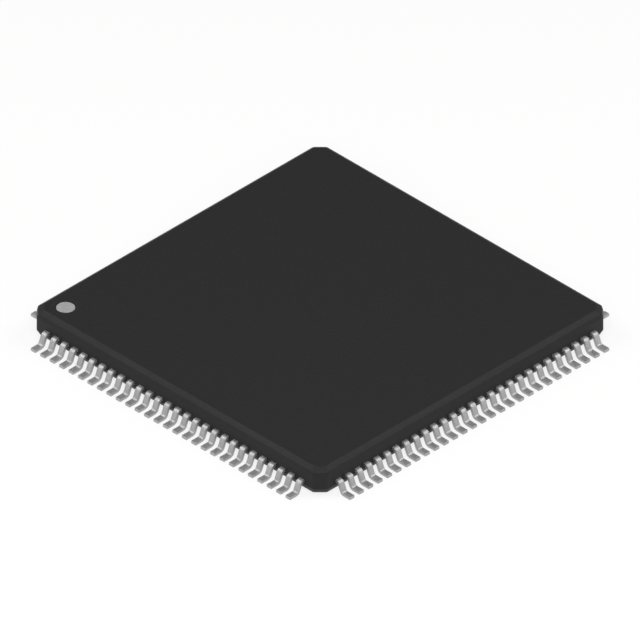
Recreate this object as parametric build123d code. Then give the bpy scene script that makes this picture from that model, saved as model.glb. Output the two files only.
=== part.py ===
from build123d import *
import math
import os

# A 112-lead low-profile quad flat package, in millimetres. The origin is the centre of the seating
# plane, which the feet of the leads touch, and +Z is up. Lead 1 is on the -X side, at its +Y end,
# and the numbers run counter-clockwise seen from above.

# Moulded body, in four bands from the underside to the top face
BODY_SIDE = 20.0
STANDOFF = 0.15             # from the seating plane to the underside
LOWER_BEVEL_HEIGHT = 0.28
BELT_HEIGHT = 0.75          # upright band that the leads come out of
DRAFT_HEIGHT = 0.23
TOP_BEVEL_HEIGHT = 0.19

UNDERSIDE_INSET = 0.12
DRAFT_INSET = 0.045
TOP_INSET = 0.30

CORNER_CUT = 0.48           # leg of the cut corner
CORNER_RADIUS = 0.20        # radius where the cut corner meets a side
CORNER_CUT_TOP = 0.40
CORNER_RADIUS_TOP = 0.13

EJECTOR_DIAMETER = 2.4      # shallow round mark that the mould leaves in the underside
EJECTOR_DEPTH = 0.05

# Pin 1 mark
DIMPLE_DIAMETER = 1.0
DIMPLE_DEPTH = 0.07
DIMPLE_MARGIN = 0.44        # from the top face's edges to the dimple's rim
INK_THICKNESS = 0.02
INK_CLEARANCE = 0.03        # between the ink's edge and the dimple's wall

# The sheet that leads, die pad and tie bars are stamped from
FRAME_THICKNESS = 0.16
FRAME_RISE = 0.14           # from the belt's lower edge to the underside of the sheet

# Leads outside the body
LEAD_PITCH = 0.65
LEAD_WIDTH = 0.32
CORNER_MARGIN = 1.0         # least distance from the end of a side to its first lead
SHOULDER_FLAT = 0.08        # level length between the wall and the shoulder's bend
SHOULDER_RADIUS = 0.09      # inside radius
LEAD_SLOPE = 68.0           # degrees from the seating plane
HEEL_RADIUS = 0.135         # inside radius
FOOT_FLAT = 0.43            # level length of the foot's upper face

# Inner ends of the leads
TIP_WIDTH = 0.16
TIP_GAP = 0.70              # between the tips and the die pad
TIP_CORNER_GAP = 0.47       # from the corner of the square of tips to the first tip

# Die, what bonds it, and the pad with its tie bars
DIE_SIDE = 5.6
DIE_THICKNESS = 0.28
ATTACH_THICKNESS = 0.03
PAD_MARGIN = 1.1            # pad left free round the die
TIE_BAR_WIDTH = 0.30
TIE_BAR_COVER = 0.45        # compound between a tie bar's end and the cut corner

# Flat facets that stand for an arc. There are 112 leads, so each bend has few: the flats of a
# lead's outer bends leave their arcs by no more than 0.006 mm.
OUTER_BEND_FACETS = 3
INNER_BEND_FACETS = 2
CORNER_FACETS = 2

LEADS_PER_NODE = 4

# Heights above the seating plane, places and counts that follow
BELT_BOTTOM = STANDOFF + LOWER_BEVEL_HEIGHT
BELT_TOP = BELT_BOTTOM + BELT_HEIGHT
DRAFT_TOP = BELT_TOP + DRAFT_HEIGHT
BODY_TOP = DRAFT_TOP + TOP_BEVEL_HEIGHT
FRAME_BOTTOM = BELT_BOTTOM + FRAME_RISE
FRAME_TOP = FRAME_BOTTOM + FRAME_THICKNESS
WALL = BODY_SIDE / 2
LEADS_PER_SIDE = int((BODY_SIDE - 2 * CORNER_MARGIN - LEAD_WIDTH) / LEAD_PITCH) + 1
PAD_SIDE = DIE_SIDE + 2 * PAD_MARGIN
TIP_RING = PAD_SIDE + 2 * TIP_GAP
TIP_PITCH = (TIP_RING - 2 * TIP_CORNER_GAP - TIP_WIDTH) / (LEADS_PER_SIDE - 1)


def rounded(before, corner, after, radius, facets):
    """Points along the arc that rounds a corner of an outline, from one side to the other."""
    inward = (Vector(*corner) - Vector(*before)).normalized()
    outward = (Vector(*after) - Vector(*corner)).normalized()
    turn = math.degrees(math.atan2(inward.cross(outward).Z, inward.dot(outward)))
    reach = radius * math.tan(math.radians(abs(turn)) / 2)
    start = Vector(*corner) - inward * reach
    centre = start + inward.rotate(Axis.Z, math.copysign(90, turn)) * radius
    return [centre + (start - centre).rotate(Axis.Z, turn * step / facets)
            for step in range(facets + 1)]


def body_outline(height, inset, cut, radius):
    """Square with cut and slightly rounded corners, at a height above the seating plane."""
    half = WALL - inset
    near = half - cut
    corners = [(half, near), (near, half), (-near, half), (-half, near),
               (-half, -near), (-near, -half), (near, -half), (half, -near)]
    points = []
    for index, corner in enumerate(corners):
        after = corners[(index + 1) % len(corners)]
        points += rounded(corners[index - 1], corner, after, radius, CORNER_FACETS)
    return Pos(0, 0, height) * make_face(Polyline(*points, close=True))


def body_block():
    """The body before its pockets are cut."""
    underside = body_outline(STANDOFF, UNDERSIDE_INSET, CORNER_CUT, CORNER_RADIUS)
    belt_low = body_outline(BELT_BOTTOM, 0, CORNER_CUT, CORNER_RADIUS)
    belt_high = body_outline(BELT_TOP, 0, CORNER_CUT, CORNER_RADIUS)
    drafted = body_outline(DRAFT_TOP, DRAFT_INSET, CORNER_CUT, CORNER_RADIUS)
    top = body_outline(BODY_TOP, TOP_INSET, CORNER_CUT_TOP, CORNER_RADIUS_TOP)
    return loft([underside, belt_low, belt_high, drafted, top], ruled=True)


def gull_wing():
    """The bent strip outside the body of a lead on the +X side, centred on the X axis."""
    slope = math.radians(LEAD_SLOPE)
    half_turn = math.tan(slope / 2)
    shoulder_outside = SHOULDER_RADIUS + FRAME_THICKNESS
    heel_outside = HEEL_RADIUS + FRAME_THICKNESS

    shoulder = WALL + SHOULDER_FLAT + shoulder_outside * half_turn
    heel = shoulder + FRAME_BOTTOM / math.tan(slope)
    toe = heel + HEEL_RADIUS * half_turn + FOOT_FLAT
    set_back = FRAME_THICKNESS * half_turn      # of the under face's corners from the upper's

    wall_top = (WALL, FRAME_TOP)
    shoulder_top = (shoulder, FRAME_TOP)
    heel_top = (heel, FRAME_THICKNESS)
    toe_top = (toe, FRAME_THICKNESS)
    toe_under = (toe, 0)
    heel_under = (heel - set_back, 0)
    shoulder_under = (shoulder - set_back, FRAME_BOTTOM)
    wall_under = (WALL, FRAME_BOTTOM)
    points = [
        wall_top,
        *rounded(wall_top, shoulder_top, heel_top, shoulder_outside, OUTER_BEND_FACETS),
        *rounded(shoulder_top, heel_top, toe_top, HEEL_RADIUS, INNER_BEND_FACETS),
        toe_top,
        toe_under,
        *rounded(toe_under, heel_under, shoulder_under, heel_outside, OUTER_BEND_FACETS),
        *rounded(heel_under, shoulder_under, wall_under, SHOULDER_RADIUS, INNER_BEND_FACETS),
        wall_under]
    profile = Plane.XZ * make_face(Polyline(*points, close=True))
    return extrude(profile, LEAD_WIDTH / 2, both=True)


def finger(offset, tip_offset):
    """The tapered inner end of a lead on the +X side, from the wall to its tip near the die pad."""
    tip = TIP_RING / 2
    plan = make_face(Polyline(
        (WALL, offset - LEAD_WIDTH / 2),
        (WALL, offset + LEAD_WIDTH / 2),
        (tip, tip_offset + TIP_WIDTH / 2),
        (tip, tip_offset - TIP_WIDTH / 2),
        close=True))
    return extrude(Pos(0, 0, FRAME_BOTTOM) * plan, FRAME_THICKNESS)


def side_of_leads():
    """The leads of the +X side, in the order of their numbers, from -Y to +Y."""
    wing = gull_wing()
    leads = []
    for index in range(LEADS_PER_SIDE):
        place = index - (LEADS_PER_SIDE - 1) / 2
        offset = place * LEAD_PITCH
        leads.append(Pos(0, offset, 0) * wing + finger(offset, place * TIP_PITCH))
    return leads


def all_leads():
    """Every lead by its number, counter-clockwise from the +Y end of the -X side."""
    side = side_of_leads()
    return [Rot(0, 0, 180 + 90 * turn) * lead for turn in range(4) for lead in side]


def die_pad():
    """The pad and its four tie bars, stamped as one piece."""
    corner = WALL - CORNER_CUT / 2
    reach = corner * math.sqrt(2) - TIE_BAR_COVER
    pad = Rectangle(PAD_SIDE, PAD_SIDE)
    for angle in (45, 135):
        pad += Rot(0, 0, angle) * Rectangle(2 * reach, TIE_BAR_WIDTH)
    return extrude(Pos(0, 0, FRAME_BOTTOM) * pad, FRAME_THICKNESS)


def slab(side, bottom, thickness):
    """A square layer centred on the Z axis."""
    return extrude(Pos(0, 0, bottom) * Rectangle(side, side), thickness)


def disc(diameter, bottom, thickness):
    """A round layer centred on the Z axis."""
    return extrude(Pos(0, 0, bottom) * Circle(diameter / 2), thickness)


def build():
    """Every node of the object by its name."""
    leads = all_leads()
    pad = die_pad()
    attach = slab(DIE_SIDE, FRAME_TOP, ATTACH_THICKNESS)
    die = slab(DIE_SIDE, FRAME_TOP + ATTACH_THICKNESS, DIE_THICKNESS)

    mark_place = WALL - TOP_INSET - DIMPLE_MARGIN - DIMPLE_DIAMETER / 2
    mark_corner = Pos(-mark_place, mark_place, 0)
    dimple_floor = BODY_TOP - DIMPLE_DEPTH
    dimple = mark_corner * disc(DIMPLE_DIAMETER, dimple_floor, DIMPLE_DEPTH)
    ink = mark_corner * disc(DIMPLE_DIAMETER - 2 * INK_CLEARANCE, dimple_floor, INK_THICKNESS)
    ejector_mark = disc(EJECTOR_DIAMETER, STANDOFF, EJECTOR_DEPTH)
    body = body_block() - [dimple, ejector_mark, pad, attach, die, *leads]

    nodes = {
        "mould_body": body,
        "die_pad": pad,
        "die_attach": attach,
        "die": die,
        "pin_1_mark": ink}
    for first in range(0, len(leads), LEADS_PER_NODE):
        group = leads[first:first + LEADS_PER_NODE]
        solids = [lead.solid() for lead in group]
        nodes[f"leads_{first + 1}_to_{first + len(group)}"] = Compound(children=solids)
    return nodes


os.makedirs("parts", exist_ok=True)
for name, shape in build().items():
    export_step(shape, f"parts/{name}.step")
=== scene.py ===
import math

import bmesh
import bpy
from mathutils import Matrix, Vector
from mathutils.geometry import interpolate_bezier


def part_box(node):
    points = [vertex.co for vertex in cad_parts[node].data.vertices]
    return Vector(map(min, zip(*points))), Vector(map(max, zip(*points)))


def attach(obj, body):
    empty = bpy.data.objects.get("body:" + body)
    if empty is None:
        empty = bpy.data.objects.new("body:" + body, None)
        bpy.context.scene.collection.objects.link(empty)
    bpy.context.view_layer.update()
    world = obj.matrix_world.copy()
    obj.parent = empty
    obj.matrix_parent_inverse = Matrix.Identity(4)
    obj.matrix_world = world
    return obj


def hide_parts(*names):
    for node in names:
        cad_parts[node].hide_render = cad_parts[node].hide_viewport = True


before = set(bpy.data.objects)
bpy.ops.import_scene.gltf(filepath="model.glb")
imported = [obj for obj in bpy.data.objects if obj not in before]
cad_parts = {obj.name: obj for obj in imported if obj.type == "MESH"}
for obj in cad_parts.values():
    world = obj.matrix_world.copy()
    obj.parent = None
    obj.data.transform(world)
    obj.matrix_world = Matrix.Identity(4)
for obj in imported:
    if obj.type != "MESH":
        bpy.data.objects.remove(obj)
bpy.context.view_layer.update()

MM = 0.001

# Sizes are in millimetres and are those of the solids. The meshes made from them have the true
# arcs that the solids' flat facets stand for, and small radii on the moulded and stamped edges.

# Moulded body
BODY_SIDE = 20.0
STANDOFF = 0.15             # from the floor to the underside
LOWER_BEVEL_HEIGHT = 0.28
BELT_HEIGHT = 0.75          # upright band that the leads come out of
DRAFT_HEIGHT = 0.23
TOP_BEVEL_HEIGHT = 0.19
UNDERSIDE_INSET = 0.12
DRAFT_INSET = 0.045
TOP_INSET = 0.30
CORNER_CUT = 0.48
CORNER_RADIUS = 0.20
CORNER_CUT_TOP = 0.40
CORNER_RADIUS_TOP = 0.13
MOULD_EDGE_RADIUS = 0.035
FLAT_MARGIN = 0.12          # level strip along a flat face's edges, which keeps its shading even
EJECTOR_DIAMETER = 2.4
EJECTOR_DEPTH = 0.05

# Pin 1 mark
DIMPLE_DIAMETER = 1.0
DIMPLE_DEPTH = 0.07
DIMPLE_MARGIN = 0.44        # from the top face's edges to the dimple's rim
INK_THICKNESS = 0.02
INK_RIM_RADIUS = 0.016
INK_CLEARANCE = 0.03        # between the ink's edge and the dimple's wall

# Leads
FRAME_THICKNESS = 0.16
FRAME_RISE = 0.14           # from the belt's lower edge to the underside of the leads
LEAD_PITCH = 0.65
LEAD_WIDTH = 0.32
LEADS_PER_SIDE = 28
LEADS_PER_NODE = 4
FIRST_SIDE = 2              # quarter turns from the +X side to the side that lead 1 is on
SHOULDER_FLAT = 0.08        # level length between the wall and the shoulder's bend
SHOULDER_RADIUS = 0.09      # inside radius
LEAD_SLOPE = math.radians(68.0)
HEEL_RADIUS = 0.135         # inside radius
FOOT_FLAT = 0.43            # level length of the foot's upper face
STAMPED_EDGE_RADIUS = 0.015
TOE_EDGE = 0.012            # how far the sheared toe's edges are broken
TIP_RING = 9.2              # side of the square that the fingers' tips stand on
TIP_PITCH = 0.30
TIP_WIDTH = 0.16

# Bond wires, from pads along the die's edges to the fingers' tips
WIRE_DIAMETER = 0.025
WIRE_PULL = 0.30            # how far up the curve is drawn from its ball
WIRE_REACH = 0.6            # share of the span after which the curve turns down to the finger
WIRE_LANDING = 0.22         # from the finger's tip to the weld on it
WELD_LENGTH = 0.07
WELD_SPREAD = 1.7           # how much wider than the wire the weld is pressed
BALL_DIAMETER = 0.065
BALL_HEIGHT = 0.02
BOND_PAD_PITCH = 0.175
BOND_PAD_INSET = 0.11       # from the die's edge to the middle of a pad

# How finely curves are divided, and the angle from which an edge stays sharp
CORNER_STEPS = 8
EDGE_STEPS = 3
STAMPED_EDGE_STEPS = 2
BEND_STEPS = 9
CIRCLE_STEPS = 96
WIRE_STEPS = 14
WIRE_SIDES = 8
BALL_STEPS = 6
BALL_SIDES = 16
SHARP_ANGLE = math.radians(38)

SIDES = 4                   # of the body, each a quarter turn from the next
QUARTER_TURN = math.radians(90)
TOLERANCE = 0.001           # points and heights nearer than this are the same

# Heights and places that follow
BELT_BOTTOM = STANDOFF + LOWER_BEVEL_HEIGHT
BELT_TOP = BELT_BOTTOM + BELT_HEIGHT
DRAFT_TOP = BELT_TOP + DRAFT_HEIGHT
BODY_TOP = DRAFT_TOP + TOP_BEVEL_HEIGHT
FRAME_BOTTOM = BELT_BOTTOM + FRAME_RISE
FRAME_TOP = FRAME_BOTTOM + FRAME_THICKNESS
WALL = BODY_SIDE / 2
MARK_PLACE = WALL - TOP_INSET - DIMPLE_MARGIN - DIMPLE_DIAMETER / 2

# View
PIXELS = 640
PIXELS_PER_MM = 20.53
VIEW_AZIMUTH = -45.0
VIEW_ELEVATION = math.degrees(math.asin(1 / math.sqrt(3)))     # a true isometric view
VIEW_CENTRE_HEIGHT = 0.795
CAMERA_DISTANCE = 200
CAMERA_NEAR = 1
CAMERA_FAR = 1000

# Stage, where a brightness of 1 is white
WHITE = (1.0, 1.0, 1.0, 1.0)
AMBIENT = 0.2               # the world's light
MIRRORED_WHITE = 0.42       # how bright the world looks in reflections
FLOOR_WHITE_SHARE = 0.8     # of the floor's look that no shadow reaches
FLOOR_REACH = 1500

# Square soft boxes: azimuth from the camera's, elevation, distance, side, brightness of the face
LAMPS = {
    "key_light": (0, 44, 160, 110, 4.6),
    "left_light": (-101, 46, 150, 82, 3.4),
    "right_light": (101, 46, 150, 82, 3.4),
    "low_left_light": (-80, 16, 150, 60, 1.1),
    "low_right_light": (80, 16, 150, 60, 1.1),
    "overhead_light": (45, 90, 160, 120, 0.2),
}

# Where most values of a noise texture lie
NOISE_RANGE = {"From Min": 0.3, "From Max": 0.7}

# Sockets that share their name with others of the same node, so they go by number
MIX_SHARE, MIX_FIRST, MIX_SECOND, MIX_RESULT = 0, 6, 7, 2       # of a mix of two colours
SHADER_FIRST, SHADER_SECOND = 1, 2                              # of a mix of two shaders
FACTOR, OTHER_FACTOR, ADDEND = 0, 1, 2                          # of a product and what it adds to


# Outlines


def rounded(before, corner, after, radius, steps):
    """Points along the arc that rounds a corner of a flat outline, from one side to the other."""
    before, corner, after = Vector(before), Vector(corner), Vector(after)
    inward = (corner - before).normalized()
    outward = (after - corner).normalized()
    turn = math.atan2(inward.x * outward.y - inward.y * outward.x, inward.dot(outward))
    start = corner - inward * radius * math.tan(abs(turn) / 2)
    centre = start + Vector((-inward.y, inward.x)) * math.copysign(radius, turn)
    return [centre + Matrix.Rotation(turn * step / steps, 2) @ (start - centre)
            for step in range(steps + 1)]


def circle(radius, steps=CIRCLE_STEPS):
    """Points round a circle."""
    turns = [2 * math.pi * step / steps for step in range(steps)]
    return [Vector((math.cos(turn), math.sin(turn))) * radius for turn in turns]


def lead_places():
    """Where the leads of a side stand along it, in pitches from the middle."""
    return [index - (LEADS_PER_SIDE - 1) / 2 for index in range(LEADS_PER_SIDE)]


def body_outline(inset, cut, radius):
    """A turn round the body: on each side both edges of every lead, then the cut corner's arcs."""
    half = WALL - inset
    near = half - cut
    quarter = [Vector((half, place * LEAD_PITCH + edge * LEAD_WIDTH / 2))
               for place in lead_places() for edge in (-1, 1)]
    quarter += rounded((half, -near), (half, near), (near, half), radius, CORNER_STEPS)
    quarter += rounded((half, near), (near, half), (-near, half), radius, CORNER_STEPS)
    return [Matrix.Rotation(QUARTER_TURN * turn, 2) @ point
            for turn in range(SIDES) for point in quarter]


def body_levels():
    """(inset, height) of each outline from the underside to the top, with every edge rounded."""
    edges = [(UNDERSIDE_INSET + FLAT_MARGIN, STANDOFF), (UNDERSIDE_INSET, STANDOFF),
             (0, BELT_BOTTOM), (0, BELT_TOP), (DRAFT_INSET, DRAFT_TOP), (TOP_INSET, BODY_TOP),
             (TOP_INSET + FLAT_MARGIN, BODY_TOP)]
    levels = [edges[0]]
    for before, edge, after in zip(edges, edges[1:], edges[2:]):
        levels += rounded(before, edge, after, MOULD_EDGE_RADIUS, EDGE_STEPS)
        if edge == (0, BELT_BOTTOM):
            levels += [(0, FRAME_BOTTOM), (0, FRAME_TOP)]
    return levels + [edges[-1]]


# Meshes


def ring_at(mesh, outline, height):
    """Vertices of a flat outline at a height."""
    return [mesh.verts.new((point.x * MM, point.y * MM, height * MM)) for point in outline]


def ring_on_side(mesh, places, turn):
    """Vertices at places of the +X side, carried to another side by quarter turns."""
    spin = Matrix.Rotation(QUARTER_TURN * turn, 3, "Z")
    return [mesh.verts.new(spin @ place * MM) for place in places]


def skin(mesh, lower, upper, gaps=()):
    """Faces between two rings of as many vertices, apart from those at gaps."""
    for index in range(len(lower)):
        if index not in gaps:
            after = (index + 1) % len(lower)
            mesh.faces.new((lower[index], lower[after], upper[after], upper[index]))


def tube(mesh, rings):
    """A closed tube through rings, which run counter-clockwise seen from in front of its start."""
    for first, second in zip(rings, rings[1:]):
        skin(mesh, second, first)
    mesh.faces.new(rings[0])
    mesh.faces.new(reversed(rings[-1]))


def cap(mesh, loops, up):
    """Flat faces between closed loops of vertices, facing up (1) or down (-1)."""
    edges = []
    for loop in loops:
        for first, second in zip(loop, loop[1:] + loop[:1]):
            edges.append(mesh.edges.get((first, second)) or mesh.edges.new((first, second)))
    filled = bmesh.ops.triangle_fill(mesh, edges=edges, use_beauty=True, normal=(0, 0, up))
    faces = [item for item in filled["geom"] if isinstance(item, bmesh.types.BMFace)]
    for face in faces:
        face.normal_update()
        if face.normal.z * up < 0:
            face.normal_flip()


def recess(mesh, place, diameter, depth, face_height, up):
    """A round recess in a level face that looks up (1) or down (-1), with a strip of the face
    round it. Returns the strip's outer ring, which the rest of the face meets."""
    radius = diameter / 2
    floor = face_height - up * depth
    lip = min(MOULD_EDGE_RADIUS, depth / 2)
    outside, inside = (radius + FLAT_MARGIN, face_height), (radius - FLAT_MARGIN, floor)
    edge, foot = (radius, face_height), (radius, floor)
    points = [outside, *rounded(outside, edge, foot, lip, EDGE_STEPS),
              *rounded(edge, foot, inside, lip / 2, EDGE_STEPS), inside]
    rings = []
    for distance, height in points:
        outline = [point + Vector(place) for point in circle(distance)]
        rings.append(ring_at(mesh, outline, height))
    for outer, inner in zip(rings, rings[1:]):
        if up > 0:
            skin(mesh, outer, inner)
        else:
            skin(mesh, inner, outer)
    cap(mesh, [rings[-1]], up)
    return rings[0]


def object_from(mesh, name, material, slot, *nodes):
    """Makes the mesh a piece, smooth but for its sharp edges, and hides the parts named, which it
    stands for.
    """
    mesh.normal_update()
    for face in mesh.faces:
        face.smooth = True
    for edge in mesh.edges:
        edge.smooth = len(edge.link_faces) == 2 and edge.calc_face_angle() < SHARP_ANGLE
    data = bpy.data.meshes.new(name)
    mesh.to_mesh(data)
    mesh.free()
    piece = bpy.data.objects.new(name, data)
    bpy.context.scene.collection.objects.link(piece)
    data.materials.append(material)
    weighted = piece.modifiers.new("weighted_normals", "WEIGHTED_NORMAL")
    weighted.keep_sharp = True
    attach(piece, "root")
    if nodes:
        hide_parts(*nodes)


# Body and pin 1 mark


def pocket(mesh, opening, turn, place):
    """The pocket that a lead's finger fills, from its opening in the wall to its tip."""
    middle, half = place * TIP_PITCH, TIP_WIDTH / 2
    corners = [(middle - half, FRAME_BOTTOM), (middle + half, FRAME_BOTTOM),
               (middle + half, FRAME_TOP), (middle - half, FRAME_TOP)]
    places = [Vector((TIP_RING / 2, across, height)) for across, height in corners]
    tip = ring_on_side(mesh, places, turn)
    skin(mesh, opening, tip)
    mesh.faces.new(tip)


def frame_hollow(mesh):
    """Copies from the solid body the hollow for pad, tie bars, adhesive and die."""
    source = bmesh.new()
    source.from_mesh(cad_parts["mould_body"].data)
    bmesh.ops.remove_doubles(source, verts=source.verts, dist=TOLERANCE * MM)
    # The hollow is a shell of its own, and a corner of the die's top lies on it
    die_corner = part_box("die")[1]
    waiting = [vertex for vertex in source.verts
               if (vertex.co - die_corner).length < TOLERANCE * MM]
    shell = set()
    while waiting:
        vertex = waiting.pop()
        if vertex not in shell:
            shell.add(vertex)
            waiting += [edge.other_vert(vertex) for edge in vertex.link_edges]
    copies = {vertex: mesh.verts.new(vertex.co) for vertex in shell}
    for face in source.faces:
        if face.verts[0] in shell:
            mesh.faces.new([copies[vertex] for vertex in face.verts])
    source.free()


def moulded_body(material):
    """The epoxy body with its pockets, its dimple and the ejector's mark."""
    mesh = bmesh.new()
    rings = []
    for inset, height in body_levels():
        share = max(0.0, (height - DRAFT_TOP) / TOP_BEVEL_HEIGHT)
        cut = CORNER_CUT + share * (CORNER_CUT_TOP - CORNER_CUT)
        radius = CORNER_RADIUS + share * (CORNER_RADIUS_TOP - CORNER_RADIUS)
        rings.append((height, ring_at(mesh, body_outline(inset, cut, radius), height)))
    per_side = len(rings[0][1]) // SIDES
    openings = [(turn * per_side + 2 * index, turn, place)
                for turn in range(SIDES) for index, place in enumerate(lead_places())]
    for (height, lower), (_, upper) in zip(rings, rings[1:]):
        if abs(height - FRAME_BOTTOM) > TOLERANCE:
            skin(mesh, lower, upper)
            continue
        skin(mesh, lower, upper, {first for first, _, _ in openings})
        for first, turn, place in openings:
            opening = (lower[first], lower[first + 1], upper[first + 1], upper[first])
            pocket(mesh, opening, turn, place)
    dimple = recess(mesh, (-MARK_PLACE, MARK_PLACE), DIMPLE_DIAMETER, DIMPLE_DEPTH, BODY_TOP, 1)
    mark = recess(mesh, (0, 0), EJECTOR_DIAMETER, EJECTOR_DEPTH, STANDOFF, -1)
    cap(mesh, [rings[-1][1], dimple], 1)
    cap(mesh, [rings[0][1], mark], -1)
    frame_hollow(mesh)
    object_from(mesh, "moulded_body", material, "moulding_compound", "mould_body")


def ink_dot(material):
    """The printed dot on the dimple's floor: a film with a soft rim."""
    mesh = bmesh.new()
    radius = DIMPLE_DIAMETER / 2 - INK_CLEARANCE
    floor = BODY_TOP - DIMPLE_DEPTH
    top = floor + INK_THICKNESS
    foot, edge, inside = (radius, floor), (radius, top), (radius - FLAT_MARGIN, top)
    points = [foot, *rounded(foot, edge, inside, INK_RIM_RADIUS, EDGE_STEPS), inside]
    place = Vector((-MARK_PLACE, MARK_PLACE))
    rings = [ring_at(mesh, [point + place for point in circle(distance)], height)
             for distance, height in points]
    for lower, upper in zip(rings, rings[1:]):
        skin(mesh, lower, upper)
    cap(mesh, [rings[0]], -1)
    cap(mesh, [rings[-1]], 1)
    object_from(mesh, "ink_dot", material, "marking_ink", "pin_1_mark")


# Leads


def bend(centre, reach, angles):
    """(middle, upward direction) of the strip at each angle of a bend, reach from its centre."""
    ups = [Vector((math.sin(angle), math.cos(angle))) for angle in angles]
    return [(centre + up * reach, up) for up in ups]


def lead_stations(place):
    """(middle, upward direction, offset across, width) along a lead of the +X side, from its toe."""
    half = FRAME_THICKNESS / 2
    level = FRAME_BOTTOM + half
    bends = math.tan(LEAD_SLOPE / 2)
    shoulder = WALL + SHOULDER_FLAT
    shoulder_outside = SHOULDER_RADIUS + FRAME_THICKNESS
    heel = (shoulder + shoulder_outside * bends + FRAME_BOTTOM / math.tan(LEAD_SLOPE)
            + HEEL_RADIUS * bends)
    heel_centre = Vector((heel, FRAME_THICKNESS + HEEL_RADIUS))
    shoulder_centre = Vector((shoulder, FRAME_BOTTOM - SHOULDER_RADIUS))

    up = Vector((0, 1))
    angles = [LEAD_SLOPE * step / BEND_STEPS for step in range(BEND_STEPS + 1)]
    outside = [
        (Vector((heel + FOOT_FLAT, half)), up),
        *bend(heel_centre, -(HEEL_RADIUS + half), angles),
        *bend(shoulder_centre, SHOULDER_RADIUS + half, reversed(angles)),
        (Vector((WALL, level)), up)]
    stations = [(*station, place * LEAD_PITCH, LEAD_WIDTH) for station in outside]
    stations.append((Vector((TIP_RING / 2, level)), up, place * TIP_PITCH, TIP_WIDTH))
    return stations


def strip_section(width, trim=0.0):
    """Points (across, up) round a lead's section, less a trim all round, its edges rounded."""
    wide = width / 2 - trim
    high = FRAME_THICKNESS / 2 - trim
    corners = [(wide, -high), (wide, high), (-wide, high), (-wide, -high)]
    points = []
    for index, corner in enumerate(corners):
        after = corners[(index + 1) % len(corners)]
        points += rounded(corners[index - 1], corner, after, STAMPED_EDGE_RADIUS,
                          STAMPED_EDGE_STEPS)
    return points


def add_lead(mesh, turn, place):
    """One lead, from the sheared toe through both bends to the tip of its finger."""
    stations = lead_stations(place)
    toe, up, across, width = stations[0]
    sections = [(toe, up, across, strip_section(width, TOE_EDGE)),
                (toe - Vector((TOE_EDGE, 0)), up, across, strip_section(width))]
    for middle, up, across, width in stations[1:]:
        sections.append((middle, up, across, strip_section(width)))
    rings = []
    for middle, up, across, section in sections:
        places = []
        for sideways, upward in section:
            flat = middle + up * upward
            places.append(Vector((flat.x, across + sideways, flat.y)))
        rings.append(ring_on_side(mesh, places, turn))
    tube(mesh, rings)


def plated_leads(material):
    """Every lead by its number, counter-clockwise from the +Y end of the -X side, four a piece."""
    order = [(FIRST_SIDE + turn, place) for turn in range(SIDES) for place in lead_places()]
    for first in range(0, len(order), LEADS_PER_NODE):
        mesh = bmesh.new()
        for turn, place in order[first:first + LEADS_PER_NODE]:
            add_lead(mesh, turn, place)
        numbers = f"leads_{first + 1}_to_{first + LEADS_PER_NODE}"
        object_from(mesh, "plated_" + numbers, material, "tin_plating", numbers)


# Bond wires


def ball_bond(mesh, turn, foot):
    """The flattened ball that welds a wire to its pad on the die. Foot is the pad's middle."""
    half = BALL_HEIGHT / 2
    rings = []
    for step in range(BALL_STEPS + 1):
        angle = math.pi * (0.5 - step / BALL_STEPS)
        radius = BALL_DIAMETER / 2 - half + half * math.cos(angle)
        middle = foot + Vector((0, 0, half + half * math.sin(angle)))
        places = [middle + point.to_3d() for point in circle(radius, BALL_SIDES)]
        rings.append(ring_on_side(mesh, places, turn))
    tube(mesh, rings)


def bond_wire(mesh, turn, place):
    """One gold wire: a loop up from its ball on the die and down to its weld on the finger."""
    die_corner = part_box("die")[1] / MM
    foot = Vector((die_corner.x - BOND_PAD_INSET, place * BOND_PAD_PITCH, die_corner.z))
    ball_bond(mesh, turn, foot)

    start = foot + Vector((0, 0, BALL_HEIGHT))
    landed = WIRE_LANDING / (WALL - TIP_RING / 2)
    offset = place * (TIP_PITCH + (LEAD_PITCH - TIP_PITCH) * landed)
    end_height = FRAME_TOP + WIRE_DIAMETER / WELD_SPREAD / 2
    end = Vector((TIP_RING / 2 + WIRE_LANDING, offset, end_height))
    along = Vector((end.x - start.x, end.y - start.y, 0))
    rise = Vector((0, 0, WIRE_PULL))
    knee = start + along * WIRE_REACH + rise / 2
    points = interpolate_bezier(start, start + rise, knee, end, WIRE_STEPS)
    points.append(end + along.normalized() * WELD_LENGTH)

    across = along.cross(Vector((0, 0, 1))).normalized()
    section = circle(WIRE_DIAMETER / 2, WIRE_SIDES)
    rings = []
    for index, point in enumerate(points):
        ahead = points[min(index + 1, WIRE_STEPS)] - points[max(index - 1, 0)]
        up = across.cross(ahead).normalized()
        spread = WELD_SPREAD if index >= WIRE_STEPS - 1 else 1.0
        places = [point + across * flat.x * spread + up * flat.y / spread for flat in section]
        rings.append(ring_on_side(mesh, places, turn))
    tube(mesh, rings)


def bond_wires(material):
    """The wires of each side, named by the numbers of their leads."""
    for turn in range(SIDES):
        mesh = bmesh.new()
        for place in lead_places():
            bond_wire(mesh, FIRST_SIDE + turn, place)
        first = turn * LEADS_PER_SIDE + 1
        name = f"bond_wires_{first}_to_{first + LEADS_PER_SIDE - 1}"
        object_from(mesh, name, material, "bond_wire_gold")


# Materials


def colour(hex_code):
    """Linear colour of an sRGB hex value."""
    channels = [int(hex_code[start:start + 2], 16) / 255 for start in (1, 3, 5)]
    return [c / 12.92 if c <= 0.04045 else ((c + 0.055) / 1.055) ** 2.4 for c in channels] + [1.0]


def add_node(tree, kind, inputs=None, **settings):
    """Adds a node with its settings. An input is a value, or a socket to link from."""
    node = tree.nodes.new(kind)
    for name, value in settings.items():
        setattr(node, name, value)
    for name, value in (inputs or {}).items():
        if isinstance(value, bpy.types.NodeSocket):
            tree.links.new(value, node.inputs[name])
        else:
            node.inputs[name].default_value = value
    return node


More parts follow.
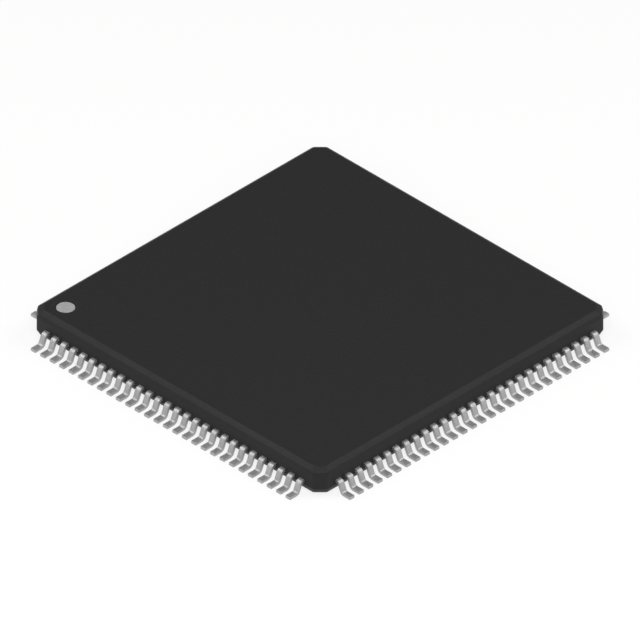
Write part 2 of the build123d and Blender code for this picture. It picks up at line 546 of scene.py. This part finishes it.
def new_material(name):
    """An empty material and its node tree."""
    material = bpy.data.materials.new(name)
    material.use_nodes = True
    material.node_tree.nodes.clear()
    return material, material.node_tree


def grain(tree, size, detail=2.0, roughness=0.5):
    """Cloudy noise on the object, in clumps about size millimetres across, around 0.5."""
    place = add_node(tree, "ShaderNodeTexCoord").outputs["Object"]
    inputs = {"Vector": place, "Scale": 1 / (size * MM), "Detail": detail, "Roughness": roughness}
    return add_node(tree, "ShaderNodeTexNoise", inputs).outputs["Fac"]


def toned(tree, noise, first, second):
    """A colour that follows noise from one hex value to another."""
    share = add_node(tree, "ShaderNodeMapRange", {"Value": noise, **NOISE_RANGE})
    mix = add_node(tree, "ShaderNodeMix", {
        MIX_SHARE: share.outputs["Result"], MIX_FIRST: colour(first), MIX_SECOND: colour(second)},
        data_type="RGBA")
    return mix.outputs[MIX_RESULT]


def moulding_compound():
    """Epoxy moulding compound, black, from a spark-eroded mould."""
    # The mould's texture makes it dull, with broad weak highlights. Carbon black colours it, and
    # the silica that fills it shows as a faint grey speckle. The texture's pits are 0.03 mm across
    # and are drawn 0.09 mm across and as much deeper, so that they show.
    material, tree = new_material("epoxy_moulding_compound")
    speckle = grain(tree, size=0.09, detail=3.0, roughness=0.6)
    cloud = grain(tree, size=3.5, detail=3.0)
    roughness = add_node(tree, "ShaderNodeMapRange", {
        "Value": cloud, **NOISE_RANGE, "To Min": 0.50, "To Max": 0.53})
    bump = add_node(tree, "ShaderNodeBump", {
        "Strength": 0.8, "Distance": 0.012 * MM, "Height": speckle})
    shader = add_node(tree, "ShaderNodeBsdfPrincipled", {
        "Base Color": toned(tree, speckle, "#181819", "#202020"),
        "Roughness": roughness.outputs["Result"], "IOR": 1.55, "Specular IOR Level": 0.18,
        "Normal": bump.outputs["Normal"]})
    add_node(tree, "ShaderNodeOutputMaterial", {"Surface": shader.outputs["BSDF"]})
    return material


def tin_plating():
    """Matte tin, electroplated on the stamped copper alloy."""
    # Its fine crystals scatter light, so it is a soft light grey with no clear reflection. The
    # crystals are 0.005 mm across and are drawn 0.05 mm across, so that they show. Handling marks
    # shade it in patches of about 0.6 mm.
    material, tree = new_material("matte_tin_plate")
    crystals = grain(tree, size=0.05)
    handling = grain(tree, size=0.6)
    roughness = add_node(tree, "ShaderNodeMapRange", {
        "Value": crystals, **NOISE_RANGE, "To Min": 0.48, "To Max": 0.56})
    bump = add_node(tree, "ShaderNodeBump", {
        "Strength": 0.4, "Distance": 0.002 * MM, "Height": crystals})
    shader = add_node(tree, "ShaderNodeBsdfPrincipled", {
        "Base Color": toned(tree, handling, "#adadad", "#b5b5b5"), "Metallic": 1.0,
        "Roughness": roughness.outputs["Result"], "Normal": bump.outputs["Normal"]})
    add_node(tree, "ShaderNodeOutputMaterial", {"Surface": shader.outputs["BSDF"]})
    return material


def marking_ink():
    """Grey pad-printing ink, dried on the dimple's floor."""
    # It is dead flat, and a little uneven in tone where the film is thin.
    material, tree = new_material("grey_marking_ink")
    film = grain(tree, size=0.15, detail=3.0)
    shader = add_node(tree, "ShaderNodeBsdfPrincipled", {
        "Base Color": toned(tree, film, "#929292", "#9f9f9f"), "Roughness": 0.7, "IOR": 1.5,
        "Specular IOR Level": 0.3})
    add_node(tree, "ShaderNodeOutputMaterial", {"Surface": shader.outputs["BSDF"]})
    return material


def frame_copper():
    """Rolled copper alloy, bare inside the body."""
    # It is warm and satin, with faint lines along the way it was rolled. The lines are 0.01 mm
    # wide and 3 mm long.
    material, tree = new_material("rolled_copper_alloy")
    place = add_node(tree, "ShaderNodeTexCoord").outputs["Object"]
    stretched = add_node(tree, "ShaderNodeMapping", {
        "Vector": place, "Scale": (1 / (3 * MM), 1 / (0.01 * MM), 1 / (3 * MM))})
    rolled = add_node(tree, "ShaderNodeTexNoise", {
        "Vector": stretched.outputs["Vector"], "Scale": 1.0, "Detail": 2.0}).outputs["Fac"]
    roughness = add_node(tree, "ShaderNodeMapRange", {
        "Value": rolled, **NOISE_RANGE, "To Min": 0.34, "To Max": 0.4})
    shader = add_node(tree, "ShaderNodeBsdfPrincipled", {
        "Base Color": toned(tree, rolled, "#d8966f", "#dfa17b"), "Metallic": 1.0,
        "Roughness": roughness.outputs["Result"]})
    add_node(tree, "ShaderNodeOutputMaterial", {"Surface": shader.outputs["BSDF"]})
    return material


def die_attach_adhesive():
    """Silver-filled epoxy paste, cured under the die."""
    # Its flakes make it grey, with a coarse dull glitter.
    material, tree = new_material("silver_filled_epoxy")
    flakes = grain(tree, size=0.03, detail=3.0)
    shader = add_node(tree, "ShaderNodeBsdfPrincipled", {
        "Base Color": toned(tree, flakes, "#8d8c89", "#c9c8c4"), "Metallic": 0.6,
        "Roughness": 0.5})
    add_node(tree, "ShaderNodeOutputMaterial", {"Surface": shader.outputs["BSDF"]})
    return material


def silicon():
    """Polished silicon with its circuit blocks."""
    # It is smooth and steel blue-grey. Blocks of circuit, 1 to 2 mm wide, show as close tones, and
    # the rows of cells in them as a fine weave, 0.05 mm a row: the real rows are too fine to show.
    material, tree = new_material("silicon_die")
    place = add_node(tree, "ShaderNodeTexCoord").outputs["Object"]
    blocks = add_node(tree, "ShaderNodeTexBrick", {
        "Vector": place, "Color1": colour("#5d6b7c"), "Color2": colour("#6f6c80"),
        "Mortar": colour("#7d838c"), "Scale": 1 / MM, "Mortar Size": 0.03,
        "Brick Width": 1.3, "Row Height": 1.55}, offset=0.4, squash=1.7, squash_frequency=2)
    cells = add_node(tree, "ShaderNodeTexBrick", {
        "Vector": place, "Color1": colour("#55626f"), "Color2": colour("#7a8494"),
        "Mortar": colour("#66707e"), "Scale": 1 / MM, "Mortar Size": 0.008,
        "Brick Width": 0.14, "Row Height": 0.05}, offset=0.3)
    circuit = add_node(tree, "ShaderNodeMix", {
        MIX_SHARE: 0.3, MIX_FIRST: blocks.outputs["Color"], MIX_SECOND: cells.outputs["Color"]},
        data_type="RGBA")
    shader = add_node(tree, "ShaderNodeBsdfPrincipled", {
        "Base Color": circuit.outputs[MIX_RESULT], "Metallic": 0.5, "Roughness": 0.12,
        "IOR": 3.4})
    add_node(tree, "ShaderNodeOutputMaterial", {"Surface": shader.outputs["BSDF"]})
    return material


def gold_wire():
    """Drawn gold bond wire."""
    # It is smooth and bright, a full yellow that wavers a little along the drawn surface.
    material, tree = new_material("drawn_gold")
    tone = grain(tree, size=0.05)
    shader = add_node(tree, "ShaderNodeBsdfPrincipled", {
        "Base Color": toned(tree, tone, "#f0c463", "#fbd47a"), "Metallic": 1.0, "Roughness": 0.2})
    add_node(tree, "ShaderNodeOutputMaterial", {"Surface": shader.outputs["BSDF"]})
    return material


# The stage


def whiteness(tree, shares):
    """How white something looks, by the kind of ray that meets it."""
    rays = add_node(tree, "ShaderNodeLightPath").outputs
    total = 0.0
    for ray, share in shares.items():
        inputs = {FACTOR: rays[ray], OTHER_FACTOR: share, ADDEND: total}
        added = add_node(tree, "ShaderNodeMath", inputs, operation="MULTIPLY_ADD")
        total = added.outputs["Value"]
    return total


def make_floor():
    """A pale floor that reads as the photograph's white and keeps a soft shadow."""
    material, tree = new_material("pale_floor")
    lit = add_node(tree, "ShaderNodeBsdfDiffuse", {"Color": colour("#f4f4f3")})
    white = add_node(tree, "ShaderNodeEmission", {"Color": WHITE})
    share = whiteness(tree, {
        "Is Camera Ray": FLOOR_WHITE_SHARE, "Is Glossy Ray": FLOOR_WHITE_SHARE,
        "Is Transmission Ray": FLOOR_WHITE_SHARE})
    mix = add_node(tree, "ShaderNodeMixShader", {
        "Fac": share, SHADER_FIRST: lit.outputs["BSDF"], SHADER_SECOND: white.outputs["Emission"]})
    add_node(tree, "ShaderNodeOutputMaterial", {"Surface": mix.outputs["Shader"]})
    mesh = bmesh.new()
    bmesh.ops.create_grid(mesh, x_segments=1, y_segments=1, size=FLOOR_REACH * MM)
    data = bpy.data.meshes.new("floor")
    mesh.to_mesh(data)
    mesh.free()
    floor = bpy.data.objects.new("floor", data)
    data.materials.append(material)
    bpy.context.scene.collection.objects.link(floor)


def make_world():
    """White to the eye and through glass, dimmer in reflections, and a faint fill light."""
    world = bpy.data.worlds.new("studio")
    world.use_nodes = True
    tree = world.node_tree
    tree.nodes.clear()
    strength = whiteness(tree, {
        "Is Camera Ray": 1.0, "Is Transmission Ray": 1.0, "Is Glossy Ray": MIRRORED_WHITE,
        "Is Diffuse Ray": AMBIENT})
    background = add_node(tree, "ShaderNodeBackground", {"Color": WHITE, "Strength": strength})
    add_node(tree, "ShaderNodeOutputWorld", {"Surface": background.outputs["Background"]})
    bpy.context.scene.world = world


def direction(azimuth, elevation):
    """Unit vector from the object towards a place round it. Azimuth 0 is the -Y side."""
    turn, rise = math.radians(azimuth), math.radians(elevation)
    return Vector((math.sin(turn) * math.cos(rise), -math.cos(turn) * math.cos(rise),
                   math.sin(rise)))


def aim(thing, azimuth, elevation, distance, height=0.0):
    """Places a lamp or camera at a distance from a point above the middle, facing that point."""
    towards = direction(azimuth, elevation)
    thing.location = (towards * distance + Vector((0, 0, height))) * MM
    thing.rotation_mode = "QUATERNION"
    thing.rotation_quaternion = (-towards).to_track_quat("-Z", "Y")


def soft_lamp(name, azimuth, elevation, distance, side, brightness):
    """A square soft box, whose energy gives its face the brightness."""
    data = bpy.data.lights.new(name, "AREA")
    data.shape = "SQUARE"
    data.size = side * MM
    data.energy = brightness * math.pi * (side * MM) ** 2
    lamp = bpy.data.objects.new(name, data)
    bpy.context.scene.collection.objects.link(lamp)
    aim(lamp, azimuth, elevation, distance)


def make_camera():
    """The photograph's isometric view."""
    data = bpy.data.cameras.new("camera")
    data.type = "ORTHO"
    data.ortho_scale = PIXELS / PIXELS_PER_MM * MM
    data.clip_start = CAMERA_NEAR * MM
    data.clip_end = CAMERA_FAR * MM
    camera = bpy.data.objects.new("camera", data)
    bpy.context.scene.collection.objects.link(camera)
    aim(camera, VIEW_AZIMUTH, VIEW_ELEVATION, CAMERA_DISTANCE, VIEW_CENTRE_HEIGHT)
    bpy.context.scene.camera = camera


moulded_body(moulding_compound())
ink_dot(marking_ink())
plated_leads(tin_plating())
bond_wires(gold_wire())
for node, material in (("die_pad", frame_copper()), ("die_attach", die_attach_adhesive()),
                       ("die", silicon())):
    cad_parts[node].data.materials.clear()
    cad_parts[node].data.materials.append(material)

make_floor()
make_world()
for name, (azimuth, elevation, distance, side, brightness) in LAMPS.items():
    soft_lamp(name, VIEW_AZIMUTH + azimuth, elevation, distance, side, brightness)
make_camera()
bpy.context.scene.view_settings.view_transform = "Standard"
